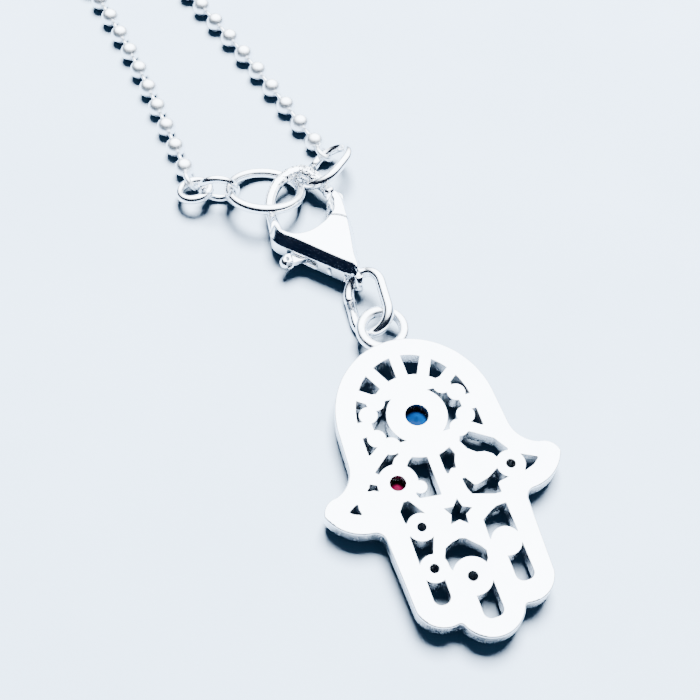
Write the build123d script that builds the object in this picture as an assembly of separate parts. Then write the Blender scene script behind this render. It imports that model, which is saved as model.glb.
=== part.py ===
from build123d import *
import math
import os

# A pierced silver hamsa pendant on a lobster clasp and a ball chain, lying face down on a table.
# Millimetres. The origin is on the table under the eye, +Y points to the bail and +Z up.

os.makedirs("parts", exist_ok=True)

# Plate and its collars
collar_height = 0.9
plate_thickness = 1.3
plate_top = collar_height + plate_thickness
edge_round = 0.14
corner_round = 0.3
collar_round = 0.1
collar_inset = 0.1
cut_margin = 1.0

# Dome of the hand, a half ellipse over straight sides
dome_half_width = 6.3
dome_height = 7.0
right_widening = 1.03

# Middle fingertip, an arc between the two sides
tip_half_width = 2.15
tip_start = -16.8
tip_end = -18.02

# Bail ring soldered to the dome
bail_centre = (0.07, 8.5)
bail_radius = 1.76
bail_wire = 0.46
bail_height = 1.55

# Eye and the rays round it
eye_collar = 2.38
ring_radius = 3.6
rim_half_width = 4.65
rim_height = 5.45
ray_width = 0.92
ray_step = 26.6
ray_count = 5
bar_high = 0.62
eye_beads = ((16.0, 3.76, 0.72), (35.3, 3.37, 0.73))
scallop_half_height = 1.87

# Stones
girdle_gap = 0.05
stone_inset = 0.0
girdle_low = 0.70
girdle_high = 0.80
seat_slope = 1.28
stone_sides = 16
table_share = 0.6
eye_stone_radius = 1.5
eye_hole_radius = 0.93
side_stone_centre = (-3.25, -5.0)
side_stone_radius = 0.98
side_hole_radius = 0.63

# Round discs of the hand: x, y, radius, hole radius
discs = {
    "eye": (0.0, 0.0, eye_collar, 0.0),
    "side": (-3.25, -5.0, 1.55, 0.0),
    "lobe": (-1.75, -5.75, 0.52, 0.0),
    "thumb": (5.45, -5.92, 1.12, 0.38),
    "left_upper": (-2.70, -8.78, 1.10, 0.36),
    "left_lower": (-2.87, -12.02, 1.07, 0.36),
    "middle": (-0.43, -13.33, 1.46, 0.39),
    "right": (2.85, -11.57, 1.13, 0.0),
}
star_centre = (0.27, -8.48)
star_radius = 1.12
star_inner = 0.58
star_turn = 76

# Corners of the sawn windows, right of the eye first, then down the hand: x, y
windows = {
    "side_right": [(3.5, -0.7), (4.65, -0.7), (4.65, -2.35), (3.5, -1.54)],
    "side_left": [(-4.65, -0.7), (-3.5, -0.7), (-3.5, -1.54), (-4.65, -2.35)],
    "stem_left": [(-1.3, -3.12), (-0.43, -3.6), (-0.43, -6.8), (-2.1, -6.6), (-2.25, -6.15),
                  (-2.6, -5.6), (-2.5, -4.3), (-1.9, -3.5)],
    "stem_right": [(1.4, -3.1), (1.0, -3.5), (0.47, -3.65), (0.47, -4.9), (0.55, -5.45),
                   (1.0, -4.98), (1.35, -5.1), (1.45, -4.5), (1.68, -3.95)],
    "over_stone": [(-3.2, -2.5), (-2.9, -2.62), (-2.38, -2.62), (-2.45, -2.8), (-2.85, -3.0),
                   (-3.1, -3.35), (-3.3, -4.0), (-4.3, -4.0), (-4.65, -3.7), (-3.6, -2.8)],
    "beside_stone": [(-5.3, -4.45), (-4.8, -4.7), (-4.7, -5.3), (-5.15, -5.05), (-5.8, -5.0),
                     (-5.45, -4.75)],
    "left_thumb": [(-6.6, -5.65), (-7.45, -6.15), (-7.2, -6.4), (-6.5, -6.7), (-6.65, -6.2)],
    "over_fish": [(2.35, -3.05), (2.55, -2.6), (3.0, -2.62), (3.35, -2.45), (5.0, -3.55),
                  (5.7, -4.7), (5.2, -5.3), (4.6, -5.1), (4.4, -4.75), (3.9, -4.4), (3.3, -4.3),
                  (2.7, -3.8)],
    "under_fish": [(1.45, -6.0), (1.75, -6.0), (2.2, -6.75), (2.45, -6.78), (3.4, -6.5),
                   (4.4, -5.9), (5.1, -6.85), (4.1, -7.05), (3.93, -7.2), (3.93, -7.9),
                   (3.4, -7.88), (1.75, -7.4), (1.55, -6.9)],
    "right_thumb": [(6.2, -5.3), (6.5, -5.4), (7.7, -6.0), (7.1, -6.5), (6.25, -6.8)],
    "left_palm": [(-3.85, -7.2), (-3.35, -6.53), (-2.95, -6.53), (-2.1, -7.85), (-2.6, -8.4),
                  (-3.78, -8.2)],
    "left_finger": [(-3.8, -9.2), (-2.7, -9.2), (-2.0, -9.45), (-2.65, -11.1), (-2.9, -11.4),
                    (-3.8, -11.6)],
    "right_finger": [(1.8, -9.55), (2.6, -9.05), (3.1, -8.8), (3.93, -8.75), (3.93, -11.1),
                     (2.85, -11.4), (1.75, -11.1)],
    "over_middle": [(-1.92, -11.5), (-1.6, -10.8), (-0.95, -10.5), (-0.35, -10.38),
                    (0.05, -10.5), (0.95, -11.4), (1.2, -11.8), (1.1, -12.4), (0.7, -12.9),
                    (-1.4, -12.9), (-1.75, -12.4)],
}
window_round = 0.1

# Slots in the fingertips: left, right, top, bottom
finger_slots = {
    "left_tip": (-3.74, -2.43, -12.4, -14.73),
    "middle_tip": (-0.70, 0.86, -14.0, -16.62),
    "right_tip": (2.50, 3.93, -12.0, -14.75),
}
slot_round = 0.6

# Clasp: body, hook, tail loop, lever and pin
clasp_thickness = 3.0
clasp_middle = clasp_thickness / 2
body_round = 0.3
tail_corner = 0.4
limb_sections = (((-5.62, 19.70), 0.56, 1.05), ((-5.56, 21.00), 0.52, 0.78), ((-5.50, 22.20), 0.44, 0.44))
hook_wire = 0.44
hook_tip = 0.5
hook_path = [(-5.50, 22.20, 1.50), (-5.46, 22.90, 1.50), (-5.11, 23.95, 1.53), (-4.26, 25.21, 1.58),
             (-3.12, 26.00, 1.62), (-1.87, 26.20, 1.62), (-0.97, 25.48, 1.58),
             (-0.30, 24.45, 1.52), (0.10, 23.45, 1.49)]
pivot = (-1.3, 17.6)
pin_radius = 0.4
pin_inset = 0.04
press_gap = 0.01
pin_clearance = 0.05
lever_half_thickness = 0.55
slot_gap = 0.1
slot_radius = 2.3
joint_gap = 0.08
gate_zone = (-1.7, 1.6, 18.2, 23.6)
hub_radius = 1.0
arm_zone = (-1.6, 1.6, 17.3, 20.4)
bar_width = 0.9
nub_radius = 0.55
nub_centre = (-5.62, 17.15)
nub_angle = 186
lever_travel = 18
nub_margin = 13
tail_centre = (-0.30, 14.14, 1.53)
tail_outer = 1.42
tail_hole = 0.85
tail_relief = 1.0
tail_width = 0.74
tail_round = 0.26
tail_turn = 6.3

# Oval rings: centre, yaw, pitch, tilt, half length, half width, wire, place and width of the slit
jump_ring = ((-0.241, 11.323, 1.567), 3.25, 4.94, 38.44, 2.754, 1.657, 0.41, 0.7, 0.1)
end_ring_right = ((0.654, 26.091, 1.681), 49.4, 1.2, 37.5, 2.526, 1.871, 0.34, 0.0, 0.08)

# Round rings: centre, tilt of the normal from +Z, its azimuth from +X, radius and wire
clasp_ring = ((-5.341, 25.048, 1.533), 21.1, 62.0, 3.15, 0.36)
end_ring_left_1 = ((-11.140, 27.055, 1.255), -15.3, -74.6, 1.33, 0.32)
end_ring_left_2 = ((-9.166, 26.210, 1.777), 83.7, 72.7, 1.50, 0.28)

# Ball chain: a plain tube along the necklace with an eyelet at each end
chain_radius = 0.875
left_strand = [(-11.40, 30.14), (-12.30, 40.40), (-13.93, 50.69), (-16.30, 61.50)]
right_strand = [(0.64, 29.79), (-1.92, 39.85), (-5.08, 49.85), (-8.60, 60.50)]
loop_foot = (-12.4, 60.5)
loop_heading = 107.4
loop_length = 121.0
loop_width = 89.0
loop_spread = 4.5
loop_start = 43.0
loop_corners = 13
eyelet_radius = 0.72
eyelet_wire = 0.25
eyelets = (((-11.269, 28.445, 0.927), 66.6, 4.4), ((1.121, 28.221, 0.773), 44.7, 17.05))


def disc(x, y, radius):
    return Pos(x, y) * Circle(radius)


def through(face):
    """A cutter that runs past both faces of the plate."""
    return Pos(0, 0, collar_height - cut_margin) * extrude(face, plate_thickness + 2 * cut_margin)


def half_outline(widening):
    """One side of the hand from the dome's top to the fingertips, its widths times the widening."""
    def at(x, y):
        return (x * widening, y)

    return Curve() + [
        EllipticalCenterArc((0, 0), dome_half_width * widening, dome_height, arc_size=-90,
                            start_angle=90),
        Line(at(6.3, 0), at(6.4, -2.6)),
        ThreePointArc(at(6.4, -2.6), at(6.85, -3.9), at(8.0, -4.75)),
        ThreePointArc(at(8.0, -4.75), at(8.95, -5.2), at(9.28, -6.0)),
        ThreePointArc(at(9.28, -6.0), at(8.55, -7.15), at(6.3, -8.25)),
        ThreePointArc(at(6.3, -8.25), at(5.8, -8.42), at(5.5, -8.95)),
        Line(at(5.5, -8.95), at(5.2, -14.7)),
        ThreePointArc(at(5.2, -14.7), at(4.5, -15.85), at(2.4, -16.3)),
        Line(at(2.4, -16.3), at(tip_half_width, tip_start)),
    ]


def hand_face():
    """The outline of the hand: the mirrored half on the left, a slightly wider one on the right."""
    right = half_outline(right_widening)
    left = mirror(half_outline(1.0), Plane.YZ)
    tip = ThreePointArc((tip_half_width * right_widening, tip_start), (0, tip_end),
                        (-tip_half_width, tip_start))
    outline = make_face(right + tip + left)
    corners = [vertex for vertex in outline.vertices() if vertex.Y < -1]
    return fillet(corners, corner_round)


def ray_face():
    """The rays, spread evenly about the middle one."""
    first = 90 - ray_step * (ray_count - 1) / 2
    rays = Sketch()
    for number in range(ray_count):
        angle = first + number * ray_step
        rays += Rot(0, 0, angle) * Pos(dome_height / 2, 0) * Rectangle(dome_height, ray_width)
    return rays


def bead_face():
    """Small round beads on both sides of the eye."""
    beads = Sketch()
    for angle, distance, radius in eye_beads:
        for turn in (angle, -angle, 180 - angle, 180 + angle):
            centre = Vector(distance, 0).rotate(Axis.Z, turn)
            beads += disc(centre.X, centre.Y, radius)
    return beads


def sun_windows():
    """The openings between the rays, and the scalloped ones beside the eye."""
    beads = bead_face()
    rim = Ellipse(rim_half_width, rim_height)
    upper = Pos(0, bar_high + rim_height / 2) * Rectangle(2 * rim_half_width, rim_height)
    rays = (rim & upper) - Circle(ring_radius) - ray_face() - beads
    band = Rectangle(3 * ring_radius, 2 * scallop_half_height)
    scallops = ((Circle(ring_radius) - Circle(eye_collar)) & band) - beads
    return [*rays.faces(), *scallops.faces()]


def sawn_windows():
    """The windows with cornered outlines, cut back round the discs and beads."""
    keep = bead_face() + Circle(ring_radius)
    for name, (x, y, radius, hole) in discs.items():
        keep += disc(x, y, radius)
    faces = []
    for corners in windows.values():
        outline = make_face(Polyline(*corners, close=True))
        outline = fillet(outline.vertices(), window_round)
        faces += (outline - keep).faces()
    for left, right, top, bottom in finger_slots.values():
        slot = Pos((left + right) / 2, (top + bottom) / 2) * Rectangle(right - left, top - bottom)
        slot = fillet(slot.vertices().group_by(Axis.Y)[0], slot_round)
        faces += (slot - keep).faces()
    return faces


def star_face():
    points = []
    for number in range(10):
        radius = star_inner if number % 2 else star_radius
        angle = math.radians(star_turn + 36 * number)
        points.append((radius * math.cos(angle), radius * math.sin(angle)))
    return Pos(*star_centre) * make_face(Polyline(*points, close=True))


def stone_seat(radius, hole):
    """A bore from the front, a cone on which the stone lies, and a hole through the back."""
    bore = radius + girdle_gap
    cone_height = (bore - hole) / seat_slope
    profile = Polyline(
        (0, -cut_margin),
        (bore, -cut_margin),
        (bore, girdle_high),
        (hole, girdle_high + cone_height),
        (hole, plate_top + cut_margin),
        (0, plate_top + cut_margin),
        close=True,
    )
    return revolve(Plane.XZ * make_face(profile), Axis.Z)


def hamsa_plate():
    plate = Pos(0, 0, collar_height) * extrude(hand_face(), plate_thickness)
    plate = fillet(plate.faces().sort_by(Axis.Z)[-1].edges(), edge_round)
    for face in sun_windows() + sawn_windows() + [star_face()]:
        plate -= through(face)
    for x, y, radius, hole in discs.values():
        collar = Pos(x, y) * extrude(Circle(radius - collar_inset), collar_height + edge_round)
        plate += fillet(collar.faces().sort_by(Axis.Z)[0].edges(), collar_round)
    for x, y, radius, hole in discs.values():
        if hole:
            plate -= Pos(x, y, -cut_margin) * extrude(Circle(hole), plate_top + 2 * cut_margin)
    plate += Pos(*bail_centre, bail_height) * Torus(bail_radius, bail_wire)
    plate -= stone_seat(eye_stone_radius, eye_hole_radius)
    plate -= Pos(*side_stone_centre) * stone_seat(side_stone_radius, side_hole_radius)
    return plate


def ring_of_points(radius, height, count, turn=0.0):
    step = 2 * math.pi / count
    angles = [turn + number * step for number in range(count)]
    return [(radius * math.cos(angle), radius * math.sin(angle), height) for angle in angles]


def cut_stone(radius):
    """A round stone, table down: table, two rows of crown facets, girdle and pavilion."""
    half_step = math.pi / stone_sides
    table = ring_of_points(radius * table_share, stone_inset, stone_sides // 2, 2 * half_step)
    low = ring_of_points(radius, girdle_low, stone_sides)
    high = ring_of_points(radius, girdle_high, stone_sides)
    tip = (0, 0, girdle_high + radius / seat_slope)
    polygons = [table]
    for number in range(stone_sides // 2):
        facet = table[number]
        after = table[(number + 1) % len(table)]
        left = low[2 * number]
        middle = low[2 * number + 1]
        right = low[(2 * number + 2) % stone_sides]
        polygons += [(facet, left, middle), (facet, middle, right), (facet, right, after)]
    for number in range(stone_sides):
        after = (number + 1) % stone_sides
        polygons.append((low[number], low[after], high[after], high[number]))
        polygons.append((high[number], high[after], tip))
    faces = [Face(Wire.make_polygon(polygon, close=True)) for polygon in polygons]
    return Solid(Shell(faces))


def ring_plane(centre, tilt, azimuth):
    """A ring's plane, from the way its normal leans: tilt from +Z, azimuth from +X."""
    lean = math.radians(tilt)
    turn = math.radians(azimuth)
    normal = (math.sin(lean) * math.cos(turn), math.sin(lean) * math.sin(turn), math.cos(lean))
    across = (-math.sin(turn), math.cos(turn), 0)
    return Plane(origin=centre, x_dir=across, z_dir=normal)


def round_ring(centre, tilt, azimuth, radius, wire):
    return ring_plane(centre, tilt, azimuth) * Torus(radius, wire)


def oval_ring(centre, yaw, pitch, tilt, half_length, half_width, wire, slit_at, slit):
    """An open oval ring of round wire. Its long axis points along +Y, turned by yaw about Z
    and raised by pitch. The tilt raises its right side, and the slit is in its left side."""
    turn = math.radians(yaw)
    rise = math.radians(pitch)
    lean = math.radians(tilt)
    along = Vector(math.sin(turn) * math.cos(rise), math.cos(turn) * math.cos(rise),
                   math.sin(rise))
    side = Vector(math.cos(turn), -math.sin(turn), 0)
    across = side * math.cos(lean) + side.cross(along) * math.sin(lean)
    plane = Plane(origin=centre, x_dir=along, z_dir=along.cross(across))
    straight = half_length - half_width
    first = (slit_at + slit / 2, -half_width)
    last = (slit_at - slit / 2, -half_width)
    path = plane * (Curve() + [
        Line(first, (straight, -half_width)),
        ThreePointArc((straight, -half_width), (half_length, 0), (straight, half_width)),
        Line((straight, half_width), (-straight, half_width)),
        ThreePointArc((-straight, half_width), (-half_length, 0), (-straight, -half_width)),
        Line((-straight, -half_width), last),
    ])
    start = Plane(origin=path @ 0, z_dir=path % 0)
    return sweep(start * Circle(wire), path)


def clasp_face():
    """The outline of the clasp without its hook: right side, gate tip, mouth, limb, left side."""
    outline = make_face(Curve() + [
        Line((-1.05, 13.95), (0.0, 13.95)),
        Spline((0.0, 13.95), (0.18, 15.6), (0.53, 17.7), (0.82, 20.1), (0.84, 21.75)),
        ThreePointArc((0.84, 21.75), (0.26, 22.72), (-0.56, 22.05)),
        Spline((-0.56, 22.05), (-0.78, 21.2), (-1.1, 20.25), (-2.0, 19.55), (-3.2, 19.1),
               (-4.3, 19.2), (-5.0, 19.75), (-5.45, 20.45), (-5.95, 20.5), (-6.25, 19.9),
               (-6.15, 19.1), (-5.65, 18.4), (-4.9, 17.7)),
        Line((-4.9, 17.7), (-1.05, 13.95)),
    ])
    return fillet(outline.vertices().group_by(Axis.Y)[0], tail_corner)


def zone_face(left, right, bottom, top):
    return Pos((left + right) / 2, (bottom + top) / 2) * Rectangle(right - left, top - bottom)


def slab(face, half_thickness):
    """A face thickened both ways about the clasp's middle height."""
    return Pos(0, 0, clasp_middle) * extrude(face, half_thickness, both=True)


def clasp_blank():
    """Body and gate in one, with rounded edges."""
    blank = extrude(clasp_face(), clasp_thickness)
    faces = blank.faces().sort_by(Axis.Z)
    return fillet(faces[0].edges() + faces[-1].edges(), body_round)


def limb():
    """The left limb, which thins from the shoulder to the hook's wire."""
    sections = []
    for (x, y), half_width, half_height in limb_sections:
        plane = Plane(origin=(x, y, clasp_middle), x_dir=(1, 0, 0), z_dir=(0, 1, 0))
        sections.append(plane * Ellipse(half_width, half_height))
    return loft(sections)


def tail_place(shape):
    """Stands a shape made about +Z on the tail's bore."""
    return Pos(*tail_centre) * Rot(0, 0, -tail_turn) * Rot(0, 90, 0) * shape


def tail_loop():
    """A flat loop in an upright plane, with rounded edges."""
    loop = Cylinder(tail_outer, tail_width) - Cylinder(tail_hole, tail_width)
    return tail_place(fillet(loop.edges().filter_by(GeomType.CIRCLE), tail_round))


def nub_cutter():
    """The way of the nub's bar through the left wall."""
    start = nub_angle - nub_margin
    sweep_angle = lever_travel + 2 * nub_margin
    reach = 5 * hub_radius
    first = Vector(reach, 0).rotate(Axis.Z, start)
    last = Vector(reach, 0).rotate(Axis.Z, start + sweep_angle)
    wedge = make_face(Polyline((0, 0), (first.X, first.Y), (last.X, last.Y), close=True))
    return slab(Pos(*pivot) * wedge, lever_half_thickness + slot_gap)


def clasp_body():
    gate = zone_face(*gate_zone) - disc(*pivot, slot_radius)
    body = clasp_blank() - slab(gate, clasp_thickness)
    body -= slab(disc(*pivot, slot_radius), lever_half_thickness + slot_gap)
    body -= nub_cutter()
    body -= tail_place(Cylinder(tail_relief, 2 * clasp_thickness))
    path = Spline(*hook_path, tangents=[(0, 1, 0), (0.3, -1, 0)])
    hook = sweep(Plane(origin=path @ 0, z_dir=path % 0) * Circle(hook_wire), path)
    hook += limb()
    hook += Pos(*hook_path[-1]) * Sphere(hook_tip)
    body += hook
    body += tail_loop()
    bore = extrude(disc(*pivot, pin_radius + press_gap), clasp_thickness + 2 * cut_margin)
    return body - Pos(0, 0, -cut_margin) * bore


def clasp_lever():
    """Gate with its rounded edges, arm and hub in the slot, and a bar to the nub."""
    gate = zone_face(*gate_zone) - disc(*pivot, slot_radius + joint_gap)
    arm = clasp_face() & zone_face(*arm_zone) & disc(*pivot, slot_radius + 2 * joint_gap)
    length = abs(nub_centre[0] - pivot[0])
    bar = Pos(*pivot) * Rot(0, 0, nub_angle) * Pos(length / 2, 0) * Rectangle(length, bar_width)
    lever = clasp_blank() & slab(gate, clasp_thickness)
    lever += slab(arm + disc(*pivot, hub_radius) + bar, lever_half_thickness)
    lever += Pos(*nub_centre, clasp_middle) * Sphere(nub_radius)
    bore = extrude(disc(*pivot, pin_radius + pin_clearance), clasp_thickness)
    return lever - bore


def clasp_pin():
    length = clasp_thickness - 2 * pin_inset
    return Pos(0, 0, pin_inset) * extrude(disc(*pivot, pin_radius), length)


def chain_path():
    """Corners of the necklace: the left strand, a drop-shaped loop behind, the right strand."""
    away = Vector(1, 0).rotate(Axis.Z, loop_heading)
    left = Vector(0, 1).rotate(Axis.Z, loop_heading)
    points = [Vector(*point) for point in left_strand]
    for number in range(loop_corners):
        degrees = loop_start + number * (360 - 2 * loop_start) / (loop_corners - 1)
        turn = math.radians(degrees)
        ahead = loop_length * (1 - math.cos(turn)) / 2
        aside = loop_width * math.sin(turn) * math.sin(turn / 2) ** 2
        aside += loop_spread * math.cos(turn / 2)
        points.append(Vector(*loop_foot) + away * ahead + left * aside)
    return points + [Vector(*point) for point in reversed(right_strand)]


def ball_chain():
    """A tube along the necklace, with the last beads and their eyelets."""
    points = chain_path()
    runs = [(after - before).length for before, after in zip(points, points[1:])]
    radii = []
    for number in range(1, len(points) - 1):
        before = points[number] - points[number - 1]
        after = points[number + 1] - points[number]
        half_turn = math.radians(before.get_angle(after)) / 2
        radii.append(0.45 * min(runs[number - 1], runs[number]) / math.tan(half_turn))
    corners = [(point.X, point.Y, chain_radius) for point in points]
    path = FilletPolyline(*corners, radius=radii)
    section = Plane(origin=path @ 0, z_dir=path % 0) * Circle(chain_radius)
    chain = sweep(section, path)
    print("runs", [round(run, 1) for run in runs], "radii", [round(radius, 1) for radius in radii])
    print("length", round(path.length, 1), "volume", round(chain.volume, 1),
          "section by length", round(math.pi * chain_radius ** 2 * path.length, 1))
    for end in (corners[0], corners[-1]):
        chain += Pos(*end) * Sphere(chain_radius)
    for centre, tilt, azimuth in eyelets:
        chain += round_ring(centre, tilt, azimuth, eyelet_radius, eyelet_wire)
    return chain


def main():
    parts = {
        "hamsa_plate": hamsa_plate(),
        "eye_stone": cut_stone(eye_stone_radius),
        "side_stone": Pos(*side_stone_centre) * cut_stone(side_stone_radius),
        "jump_ring": oval_ring(*jump_ring),
        "clasp_body": clasp_body(),
        "clasp_lever": clasp_lever(),
        "clasp_pin": clasp_pin(),
        "clasp_ring": round_ring(*clasp_ring),
        "end_ring_left_1": round_ring(*end_ring_left_1),
        "end_ring_left_2": round_ring(*end_ring_left_2),
        "end_ring_right": oval_ring(*end_ring_right),
        "ball_chain": ball_chain(),
    }
    for name, part in parts.items():
        export_step(part, f"parts/{name}.step")


if __name__ == "__main__":
    main()
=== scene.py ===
import math

import bmesh
import bpy
from mathutils import Matrix, Vector
from mathutils.bvhtree import BVHTree
from mathutils.geometry import interpolate_bezier


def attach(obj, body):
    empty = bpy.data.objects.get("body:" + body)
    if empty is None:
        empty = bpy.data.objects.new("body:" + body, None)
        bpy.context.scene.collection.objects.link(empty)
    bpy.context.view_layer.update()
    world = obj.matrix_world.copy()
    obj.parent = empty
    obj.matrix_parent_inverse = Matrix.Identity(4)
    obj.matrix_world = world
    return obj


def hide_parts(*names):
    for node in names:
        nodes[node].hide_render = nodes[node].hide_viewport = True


# A pierced silver hamsa pendant, face down on a table, with its lobster clasp and ball chain.
# The frame is in metres; the named sizes below are in millimetres.

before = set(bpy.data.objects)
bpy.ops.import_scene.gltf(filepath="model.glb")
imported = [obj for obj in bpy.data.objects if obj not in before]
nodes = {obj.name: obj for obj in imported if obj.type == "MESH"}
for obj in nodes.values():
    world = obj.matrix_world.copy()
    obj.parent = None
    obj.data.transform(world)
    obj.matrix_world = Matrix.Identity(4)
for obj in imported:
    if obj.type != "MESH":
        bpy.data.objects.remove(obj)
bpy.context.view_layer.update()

MM = 0.001
TAU = 2 * math.pi

# Camera: where it stands, its lean from the vertical, its bearing and its turn about its own axis
camera_place = (-18.62, -35.12, 77.50)
camera_lean = math.radians(30.8)
camera_bearing = math.radians(-20.1)
camera_turn = math.radians(-20.1)
sensor_width = 36.0
focal_length = 56.57

# Light: one soft window over the table, and the room as the metal mirrors it. The room is
# bright overhead and behind, and dark low down on the camera's side.
middle = (-0.003, 0.008, 0)
window_place = (0.17, 0.36, 0.715)
window_size = (0.38, 0.38)
window_power = 168.0
window_colour = (1.0, 0.985, 0.97)
bright_side = (11.0, 12.0, 13.0, 1)
dark_side = (0.002, 0.007, 0.024, 1)
room_slope = (0.258, 0.486, 1.0)
room_edge = (0.55, 1.0)
# What is left of the room, and the table's colour, in light that has bounced off the table. The
# table's colour in bounced light is near black, which is painted shade that darkens the shadows.
fill_light = (0.07, 0.15, 0.24, 1)
painted_shade_bounce_colour = (0.003, 0.007, 0.015, 1)

# Clasp: its outline in plan without the hook, how its flat faces swell towards the outline, how
# the nub's bar is thinned and how much the hook grows by place along X
clasp_middle = 1.5
clasp_grain = 0.08
smoothing_rounds = 4
clasp_outline = [(-1.05, 13.95), (0.0, 13.95), (0.18, 15.6), (0.53, 17.7), (0.82, 20.1),
                 (0.84, 21.75), (0.26, 22.72), (-0.56, 22.05), (-0.78, 21.2), (-1.1, 20.25),
                 (-2.0, 19.55), (-3.2, 19.1), (-4.3, 19.2), (-5.0, 19.75), (-5.45, 20.45),
                 (-5.95, 20.5), (-6.25, 19.9), (-6.15, 19.1), (-5.65, 18.4), (-4.9, 17.7)]
outline_steps = 8
wall_reach = 10
wall_half_height = 0.62
swell_least = 0.4
swell_most = 0.85
swell_side = (0.7, 0.72)
swell_power = 1.25
pivot = (-1.3, 17.6)
pin_cover = (0.55, 2.6, 3.0)
bar_span = (-5.15, -2.4)
bar_share = 0.5
hook_foot = 22.6
hook_growth = [(-5.6, 0.06), (-3.0, 0.13), (-1.5, 0.18), (-0.4, 0.17), (0.2, 0.04)]
hook_lift = 1.7
# Cheeks that narrow the nub's slot and close the bore's side: corners, low, high
cheeks = [([(-5.2, 18.0), (-4.9, 17.7), (-3.1, 15.95), (-2.6, 17.0), (-4.0, 18.2)], 0.75, 1.1),
          ([(-5.2, 18.0), (-4.9, 17.7), (-3.1, 15.95), (-2.6, 17.0), (-4.0, 18.2)], 1.9, 2.25),
          ([(-1.35, 14.25), (-1.2, 15.3), (-2.3, 15.3), (-2.3, 15.15)], 0.4, 2.6)]

# Rings: how much thicker than the solids their wire is
wire_growth = {"jump_ring": 0.05, "clasp_ring": 0.08, "end_ring_left_1": 0.07,
               "end_ring_left_2": 0.06, "end_ring_right": 0.07}

# Ball chain
bead_radius = 0.875
bead_pitch = 2.60
bead_wire = 0.17
wire_share = 0.8
fine_beads = 14
left_strand = [(-11.40, 30.14), (-12.30, 40.40), (-13.93, 50.69), (-16.30, 61.50)]
right_strand = [(0.64, 29.79), (-1.92, 39.85), (-5.08, 49.85), (-8.60, 60.50)]
loop_foot = (-12.4, 60.5)
loop_heading = 107.4
loop_length = 121.0
loop_width = 89.0
loop_spread = 4.5
loop_start = 43.0
loop_corners = 13
eyelet_radius = 0.72
eyelet_wire = 0.25
eyelets = (((-11.269, 28.445, 0.927), 66.6, 4.4), ((1.121, 28.221, 0.773), 44.7, 17.05))


def link(shape):
    bpy.context.scene.collection.objects.link(shape)
    return shape


def smooth(mesh):
    for polygon in mesh.polygons:
        polygon.use_smooth = True


def piece_from(form, name):
    """A finished piece of the necklace from a bmesh in metres."""
    mesh = bpy.data.meshes.new(name)
    form.to_mesh(mesh)
    form.free()
    smooth(mesh)
    return link(bpy.data.objects.new(name, mesh))


# ---- Finishes

def new_finish(name):
    finish = bpy.data.materials.new(name)
    finish.use_nodes = True
    tree = finish.node_tree
    tree.nodes.clear()
    output = tree.nodes.new("ShaderNodeOutputMaterial")
    shader = tree.nodes.new("ShaderNodeBsdfPrincipled")
    tree.links.new(shader.outputs[0], output.inputs[0])
    return finish, tree, shader


def object_coordinates(tree, scale, turn=0.0):
    place = tree.nodes.new("ShaderNodeTexCoord")
    mapping = tree.nodes.new("ShaderNodeMapping")
    mapping.inputs["Scale"].default_value = scale
    mapping.inputs["Rotation"].default_value = (0, 0, turn)
    tree.links.new(place.outputs["Object"], mapping.inputs["Vector"])
    return mapping.outputs["Vector"]


def noise(tree, vector, scale, detail, roughness=0.6):
    grain = tree.nodes.new("ShaderNodeTexNoise")
    grain.inputs["Scale"].default_value = scale
    grain.inputs["Detail"].default_value = detail
    grain.inputs["Roughness"].default_value = roughness
    tree.links.new(vector, grain.inputs["Vector"])
    return grain.outputs["Fac"]


def ramp(tree, source, stops):
    colours = tree.nodes.new("ShaderNodeValToRGB")
    band = colours.color_ramp
    band.elements[0].position, band.elements[0].color = stops[0]
    band.elements[1].position, band.elements[1].color = stops[-1]
    for position, colour in stops[1:-1]:
        band.elements.new(position).color = colour
    tree.links.new(source, colours.inputs["Fac"])
    return colours.outputs["Color"]


def blend(tree, factor, first, last):
    """A colour between two colours, each given or linked."""
    mix = tree.nodes.new("ShaderNodeMix")
    mix.data_type = "RGBA"
    mix.clamp_factor = True
    tree.links.new(factor, mix.inputs["Factor"])
    colours = [socket for socket in mix.inputs if socket.type == "RGBA"]
    for socket, colour in zip(colours, (first, last)):
        if isinstance(colour, tuple):
            socket.default_value = colour
        else:
            tree.links.new(colour, socket)
    return [socket for socket in mix.outputs if socket.type == "RGBA"][0]


def spread(tree, source, low, high):
    span = tree.nodes.new("ShaderNodeMapRange")
    span.inputs["From Min"].default_value = 0.3
    span.inputs["From Max"].default_value = 0.7
    span.inputs["To Min"].default_value = low
    span.inputs["To Max"].default_value = high
    tree.links.new(source, span.inputs["Value"])
    return span.outputs["Result"]


def bump(tree, source, strength, distance, under=None):
    relief = tree.nodes.new("ShaderNodeBump")
    relief.inputs["Strength"].default_value = strength
    relief.inputs["Distance"].default_value = distance * MM
    tree.links.new(source, relief.inputs["Height"])
    if under is not None:
        tree.links.new(under, relief.inputs["Normal"])
    return relief.outputs["Normal"]


def silver(name, smoothest, roughest, scratch, dents, edge=0.0):
    """Polished silver: cloudy polish, fine rubbing marks and shallow dents."""
    finish, tree, shader = new_finish(name)
    shader.inputs["Metallic"].default_value = 1.0
    cloud = noise(tree, object_coordinates(tree, (1, 1, 1)), 420, 4)
    colour = ramp(tree, cloud, [(0.25, (0.86, 0.89, 0.94, 1)), (0.7, (0.95, 0.965, 0.985, 1))])
    tree.links.new(colour, shader.inputs["Base Color"])
    marks = noise(tree, object_coordinates(tree, (9000, 900, 900), 0.6), 1.0, 3)
    tree.links.new(spread(tree, marks, smoothest, roughest), shader.inputs["Roughness"])
    under = None
    if edge:
        worn = tree.nodes.new("ShaderNodeBevel")
        worn.samples = 6
        worn.inputs["Radius"].default_value = edge * MM
        under = worn.outputs["Normal"]
    waves = noise(tree, object_coordinates(tree, (1, 1, 1)), 300, 2)
    under = bump(tree, waves, 0.5, dents, under)
    normal = bump(tree, marks, 0.35, scratch, under)
    tree.links.new(normal, shader.inputs["Normal"])
    return finish


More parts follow.
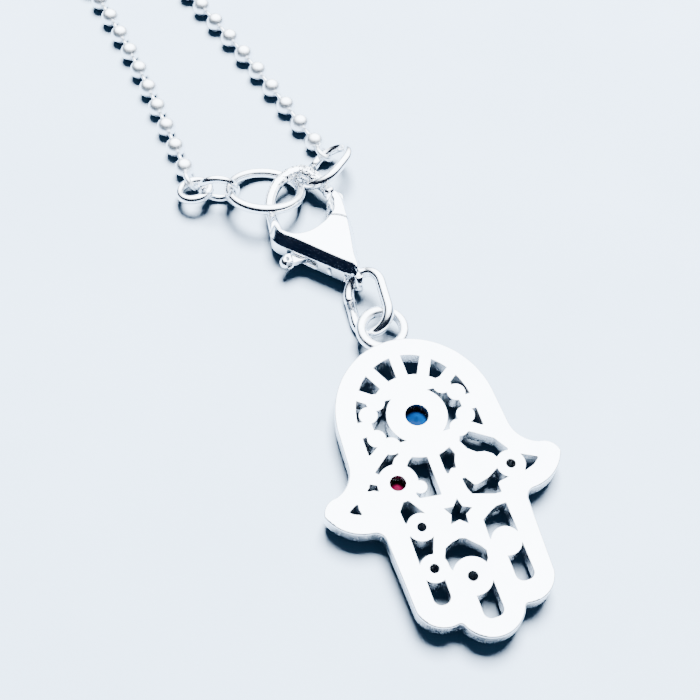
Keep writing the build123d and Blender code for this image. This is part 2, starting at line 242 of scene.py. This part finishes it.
def stone(name, painted_shade_colour, bright, middle):
    """Cut glass-like stone whose colour darkens towards one side, as painted shade: dark on its +Y
    side, where the setting's wall shades it, and bright on its -Y side, where light falls on it.
    """
    finish, tree, shader = new_finish(name)
    place = object_coordinates(tree, (1, 1, 1))
    split = tree.nodes.new("ShaderNodeSeparateXYZ")
    tree.links.new(place, split.inputs[0])
    # Painted shade across the stone: dark at +Y, where the setting's wall casts shade, bright at -Y.
    span = tree.nodes.new("ShaderNodeMapRange")
    span.inputs["From Min"].default_value = (middle[1] + 0.8) * MM
    span.inputs["From Max"].default_value = (middle[1] - 0.9) * MM
    tree.links.new(split.outputs["Y"], span.inputs["Value"])
    colour = ramp(tree, span.outputs["Result"], [(0.0, painted_shade_colour), (1.0, bright)])
    tree.links.new(colour, shader.inputs["Base Color"])
    flaws = noise(tree, place, 2600, 3)
    tree.links.new(spread(tree, flaws, 0.02, 0.08), shader.inputs["Roughness"])
    tree.links.new(bump(tree, flaws, 0.2, 0.01), shader.inputs["Normal"])
    shader.inputs["IOR"].default_value = 1.75
    shader.inputs["Specular IOR Level"].default_value = 0.03
    return finish


def dress(shape, finish):
    shape.data.materials.clear()
    shape.data.materials.append(finish)
    for polygon in shape.data.polygons:
        polygon.material_index = 0


def finish_node(name, finish):
    shape = nodes[name]
    if not shape.material_slots:
        shape.data.materials.append(finish)
    for place in shape.material_slots:
        place.material = finish


plate_silver = silver("plate_silver", 0.16, 0.30, 0.004, 0.02, 0.05)
silver_wire = silver("silver_wire", 0.10, 0.20, 0.002, 0.01)
clasp_silver = silver("clasp_silver", 0.08, 0.17, 0.002, 0.015, 0.08)
chain_silver = silver("chain_silver", 0.30, 0.40, 0.002, 0.01)
# Stones: a dark shaded colour and a bright lit colour each, with painted shade between them across the
# setting
blue_stone = stone("blue_stone", (0.0, 0.0005, 0.006, 1), (0.0, 0.020, 0.085, 1), (0, 0))
red_stone = stone("red_stone", (0.006, 0.0, 0.001, 1), (0.075, 0.001, 0.018, 1), (-3.25, -5.0))

finish_node("hamsa_plate", plate_silver)
for name in ("jump_ring", "clasp_ring", "end_ring_left_1", "end_ring_left_2", "end_ring_right"):
    finish_node(name, silver_wire)
for name in ("clasp_body", "clasp_lever", "clasp_pin"):
    finish_node(name, clasp_silver)
finish_node("eye_stone", blue_stone)
finish_node("side_stone", red_stone)


# ---- Clasp

def clasp_walls():
    """Tall walls on the clasp's outline, to measure how far inside it a point lies."""
    corners = clasp_outline
    rim = []
    for number in range(len(corners)):
        around = [Vector(corners[(number + step) % len(corners)]) for step in (-1, 0, 1, 2)]
        before, first, last, after = around
        rim += interpolate_bezier(first, first + (last - before) / 6, last - (after - first) / 6,
                                  last, outline_steps + 1)[:-1]
    points = [(point.x, point.y, height) for point in rim for height in (-wall_reach, wall_reach)]
    count = len(points)
    faces = [(low, low + 1, (low + 3) % count, (low + 2) % count) for low in range(0, count, 2)]
    return BVHTree.FromPolygons(points, faces)


def swell(place, walls):
    """The height of a point of the clasp after its flat faces are swelled."""
    above = place.z - clasp_middle
    wall, _, _, reach = walls.find_nearest((place.x, place.y, 0))
    inward = (Vector((place.x, place.y)) - wall.xy).normalized()
    facing = max(inward.dot(Vector(swell_side)), 0)
    width = swell_least + (swell_most - swell_least) * facing
    share = (1 - min(reach / width, 1)) ** swell_power
    extra = max(abs(above) - wall_half_height, 0) * share
    return place.z - math.copysign(extra, above)


def between(value, table):
    """A value read from a table of pairs, with straight lines between them."""
    for (low, first), (high, last) in zip(table, table[1:]):
        if value <= high:
            share = max(value - low, 0) / (high - low)
            return first + (last - first) * share
    return table[-1][1]


def add_prism(form, corners, low, high):
    face = form.faces.new([form.verts.new((x, y, low)) for x, y in corners])
    raised = bmesh.ops.extrude_face_region(form, geom=[face])["geom"]
    moved = [item for item in raised if isinstance(item, bmesh.types.BMVert)]
    bmesh.ops.translate(form, verts=moved, vec=(0, 0, high - low))


def cad_form(name):
    """A merged copy of a CAD piece, in millimetres."""
    form = bmesh.new()
    form.from_mesh(nodes[name].data)
    bmesh.ops.transform(form, matrix=Matrix.Scale(1 / MM, 4) @ nodes[name].matrix_world,
                        verts=form.verts)
    bmesh.ops.remove_doubles(form, verts=form.verts, dist=0.001)
    return form


def put_in_place(mesh, name, body, finish):
    mesh.transform(Matrix.Scale(MM, 4))
    smooth(mesh)
    piece = link(bpy.data.objects.new(name + "_form", mesh))
    dress(piece, finish)
    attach(piece, body)
    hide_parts(name)


def grown(mesh, name):
    """A mesh in millimetres rebuilt with an even grain and smoothed."""
    holder = link(bpy.data.objects.new(name, mesh))
    grain = holder.modifiers.new("grain", "REMESH")
    grain.mode = "VOXEL"
    grain.voxel_size = clasp_grain
    even = holder.modifiers.new("even", "SMOOTH")
    even.factor = 0.5
    even.iterations = smoothing_rounds
    graph = bpy.context.evaluated_depsgraph_get()
    made = bpy.data.meshes.new_from_object(holder.evaluated_get(graph))
    bpy.data.objects.remove(holder)
    return made


def swelled_clasp(name, body, covered):
    """The clasp's body or lever with cushion-like faces in place of the flat ones."""
    form = cad_form(name)
    if covered:
        radius, low, high = pin_cover
        place = Matrix.Translation((*pivot, (low + high) / 2))
        bmesh.ops.create_cone(form, cap_ends=True, segments=24, radius1=radius, radius2=radius,
                              depth=high - low, matrix=place)
        for corners, low, high in cheeks:
            add_prism(form, corners, low, high)
        bmesh.ops.recalc_face_normals(form, faces=form.faces)
    mesh = bpy.data.meshes.new(name)
    form.to_mesh(mesh)
    form.free()
    mesh = grown(mesh, name)
    walls = clasp_walls()
    for vertex in mesh.vertices:
        place = vertex.co
        if covered and place.y > hook_foot:
            growth = vertex.normal * between(place.x, hook_growth)
            vertex.co = place + Vector((growth.x, growth.y, growth.z * hook_lift))
        elif not covered and bar_span[0] < place.x < bar_span[1]:
            place.z = clasp_middle + (place.z - clasp_middle) * bar_share
        elif covered or place.x > bar_span[1]:
            place.z = swell(place, walls)
    put_in_place(mesh, name, body, clasp_silver)


def thickened(name):
    """A ring with slightly thicker wire than its solid."""
    form = cad_form(name)
    form.normal_update()
    for vertex, normal in [(vertex, vertex.normal.copy()) for vertex in form.verts]:
        vertex.co += normal * wire_growth[name]
    mesh = bpy.data.meshes.new(name)
    form.to_mesh(mesh)
    form.free()
    put_in_place(mesh, name, "necklace", silver_wire)


swelled_clasp("clasp_body", "necklace", True)
swelled_clasp("clasp_lever", "lever", False)
for name in wire_growth:
    thickened(name)


# ---- Ball chain

def chain_corners():
    """Corners of the necklace's line: left strand, the loop behind, right strand."""
    away = Vector((math.cos(math.radians(loop_heading)), math.sin(math.radians(loop_heading))))
    left = Vector((-away.y, away.x))
    points = [Vector(point) for point in left_strand]
    for number in range(loop_corners):
        turn = math.radians(loop_start + number * (360 - 2 * loop_start) / (loop_corners - 1))
        ahead = loop_length * (1 - math.cos(turn)) / 2
        aside = loop_width * math.sin(turn) * math.sin(turn / 2) ** 2
        aside += loop_spread * math.cos(turn / 2)
        points.append(Vector(loop_foot) + away * ahead + left * aside)
    return points + [Vector(point) for point in reversed(right_strand)]


def chain_line():
    """Points along the necklace's smooth line, in metres."""
    line = bpy.data.curves.new("chain_line", "CURVE")
    line.dimensions = "3D"
    line.resolution_u = 24
    spline = line.splines.new("NURBS")
    corners = chain_corners()
    spline.points.add(len(corners) - 1)
    for point, corner in zip(spline.points, corners):
        point.co = (corner.x * MM, corner.y * MM, bead_radius * MM, 1)
    spline.order_u = 3
    spline.use_endpoint_u = True
    holder = link(bpy.data.objects.new("chain_line", line))
    graph = bpy.context.evaluated_depsgraph_get()
    mesh = bpy.data.meshes.new_from_object(holder.evaluated_get(graph))
    points = [vertex.co.copy() for vertex in mesh.vertices]
    bpy.data.objects.remove(holder)
    bpy.data.curves.remove(line)
    bpy.data.meshes.remove(mesh)
    return points


def bead_places():
    """Centres of the beads, evenly spread along the line, with the line's direction at each."""
    points = chain_line()
    reach = [0.0]
    for before, after in zip(points, points[1:]):
        reach.append(reach[-1] + (after - before).length)
    count = round(reach[-1] / (bead_pitch * MM))
    places = []
    segment = 0
    for number in range(count + 1):
        wanted = reach[-1] * number / count
        while segment < len(points) - 2 and reach[segment + 1] < wanted:
            segment += 1
        run = reach[segment + 1] - reach[segment]
        share = (wanted - reach[segment]) / run
        before, after = points[segment], points[segment + 1]
        places.append((before.lerp(after, share), (after - before).normalized()))
    return places


def turned(direction, place):
    """A matrix that stands +Z along a direction, at a place."""
    turn = direction.to_track_quat("Z", "Y").to_matrix().to_4x4()
    return Matrix.Translation(place) @ turn


def add_ring(form, centre, tilt, azimuth, radius, wire, round_steps, wire_steps):
    lean, turn = math.radians(tilt), math.radians(azimuth)
    normal = Vector((math.sin(lean) * math.cos(turn), math.sin(lean) * math.sin(turn), math.cos(lean)))
    across = Vector((-math.sin(turn), math.cos(turn), 0))
    place = Vector(centre) * MM
    edge = place + across * radius * MM
    stand = turned(normal.cross(across), edge)
    made = bmesh.ops.create_circle(form, segments=wire_steps, radius=wire * MM, matrix=stand)
    edges = {rim for vertex in made["verts"] for rim in vertex.link_edges}
    bmesh.ops.spin(form, geom=made["verts"] + list(edges), cent=place, axis=normal,
                   angle=TAU, steps=round_steps, use_merge=True)


def bead_mesh(across, along):
    form = bmesh.new()
    bmesh.ops.create_uvsphere(form, u_segments=across, v_segments=along, radius=bead_radius * MM)
    mesh = bpy.data.meshes.new("bead")
    form.to_mesh(mesh)
    form.free()
    return mesh


def wire_mesh(sides):
    form = bmesh.new()
    bmesh.ops.create_cone(form, cap_ends=True, segments=sides, radius1=bead_wire * MM,
                          radius2=bead_wire * MM, depth=wire_share * bead_pitch * MM)
    mesh = bpy.data.meshes.new("wire")
    form.to_mesh(mesh)
    form.free()
    return mesh


def add_copy(form, mesh, place):
    """Adds a small mesh to a form, moved to its place."""
    moved = mesh.copy()
    moved.transform(place)
    form.from_mesh(moved)
    bpy.data.meshes.remove(moved)


def ball_chain():
    form = bmesh.new()
    places = bead_places()
    fine = bead_mesh(24, 14)
    plain = bead_mesh(14, 8)
    link_wire = wire_mesh(8)
    for centre, tilt, azimuth in eyelets:
        add_ring(form, centre, tilt, azimuth, eyelet_radius, eyelet_wire, 40, 14)
    for number, (centre, direction) in enumerate(places):
        close = min(number, len(places) - 1 - number) < fine_beads
        add_copy(form, fine if close else plain, turned(direction, centre))
    for (before, _), (after, _) in zip(places, places[1:]):
        run = after - before
        add_copy(form, link_wire, turned(run.normalized(), (before + after) / 2))
    return piece_from(form, "ball_chain_beads")


beads = ball_chain()
dress(beads, chain_silver)
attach(beads, "necklace")
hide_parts("ball_chain")


# ---- Table, light and camera

def table_top():
    form = bmesh.new()
    bmesh.ops.create_grid(form, x_segments=1, y_segments=1, size=3.0)
    mesh = bpy.data.meshes.new("table_top")
    form.to_mesh(mesh)
    form.free()
    mesh.transform(Matrix.Translation((0, 0, -0.00001)))
    top = link(bpy.data.objects.new("table_top", mesh))
    finish, tree, shader = new_finish("pale_table")
    place = object_coordinates(tree, (1, 1, 1))
    cloud = noise(tree, place, 45, 6)
    colour = ramp(tree, cloud, [(0.3, (0.165, 0.222, 0.300, 1)), (0.75, (0.182, 0.243, 0.325, 1))])
    # Painted shade: the table turns near black to light that has bounced off it, so the shadows around
    # the pieces come out dark
    path = tree.nodes.new("ShaderNodeLightPath")
    colour = blend(tree, path.outputs["Diffuse Depth"], colour, painted_shade_bounce_colour)
    tree.links.new(colour, shader.inputs["Base Color"])
    shader.inputs["Specular IOR Level"].default_value = 0.0
    grain = noise(tree, place, 2500, 4)
    tree.links.new(spread(tree, grain, 0.45, 0.6), shader.inputs["Roughness"])
    tree.links.new(bump(tree, grain, 0.25, 0.05), shader.inputs["Normal"])
    dress(top, finish)


def soft_light(name, place, target, size, power, colour):
    light = bpy.data.lights.new(name, "AREA")
    light.shape = "RECTANGLE"
    light.size, light.size_y = size
    light.energy = power
    light.color = colour
    holder = link(bpy.data.objects.new(name, light))
    holder.location = place
    holder.rotation_mode = "QUATERNION"
    holder.rotation_quaternion = (Vector(target) - Vector(place)).to_track_quat("-Z", "Y")
    holder.visible_glossy = False


def studio():
    """A bright room seen in the metal, over a table lit by one window and a little fill."""
    world = bpy.data.worlds.new("studio")
    bpy.context.scene.world = world
    world.use_nodes = True
    tree = world.node_tree
    sky = tree.nodes["Background"]
    direction = tree.nodes.new("ShaderNodeTexCoord")
    height = tree.nodes.new("ShaderNodeVectorMath")
    height.operation = "DOT_PRODUCT"
    height.inputs[1].default_value = room_slope
    tree.links.new(direction.outputs["Generated"], height.inputs[0])
    share = tree.nodes.new("ShaderNodeMapRange")
    share.interpolation_type = "SMOOTHSTEP"
    share.inputs["From Min"].default_value, share.inputs["From Max"].default_value = room_edge
    tree.links.new(height.outputs["Value"], share.inputs["Value"])
    room = blend(tree, share.outputs["Result"], dark_side, bright_side)
    path = tree.nodes.new("ShaderNodeLightPath")
    tree.links.new(blend(tree, path.outputs["Diffuse Depth"], room, fill_light), sky.inputs["Color"])
    soft_light("window", window_place, middle, window_size, window_power,
               window_colour)


def camera():
    lens = bpy.data.cameras.new("camera")
    lens.sensor_width = sensor_width
    lens.lens = focal_length
    lens.clip_start = 0.005
    lens.clip_end = 20.0
    holder = link(bpy.data.objects.new("camera", lens))
    back = Vector((math.sin(camera_lean) * math.sin(camera_bearing),
                   -math.sin(camera_lean) * math.cos(camera_bearing), math.cos(camera_lean)))
    level = (-back).cross(Vector((0, 1, 0))).normalized()
    rise = level.cross(-back)
    right = level * math.cos(camera_turn) + rise * math.sin(camera_turn)
    up = rise * math.cos(camera_turn) - level * math.sin(camera_turn)
    stand = Matrix((right, up, back)).transposed().to_4x4()
    holder.matrix_world = Matrix.Translation(Vector(camera_place) * MM) @ stand
    bpy.context.scene.camera = holder


table_top()
studio()
camera()
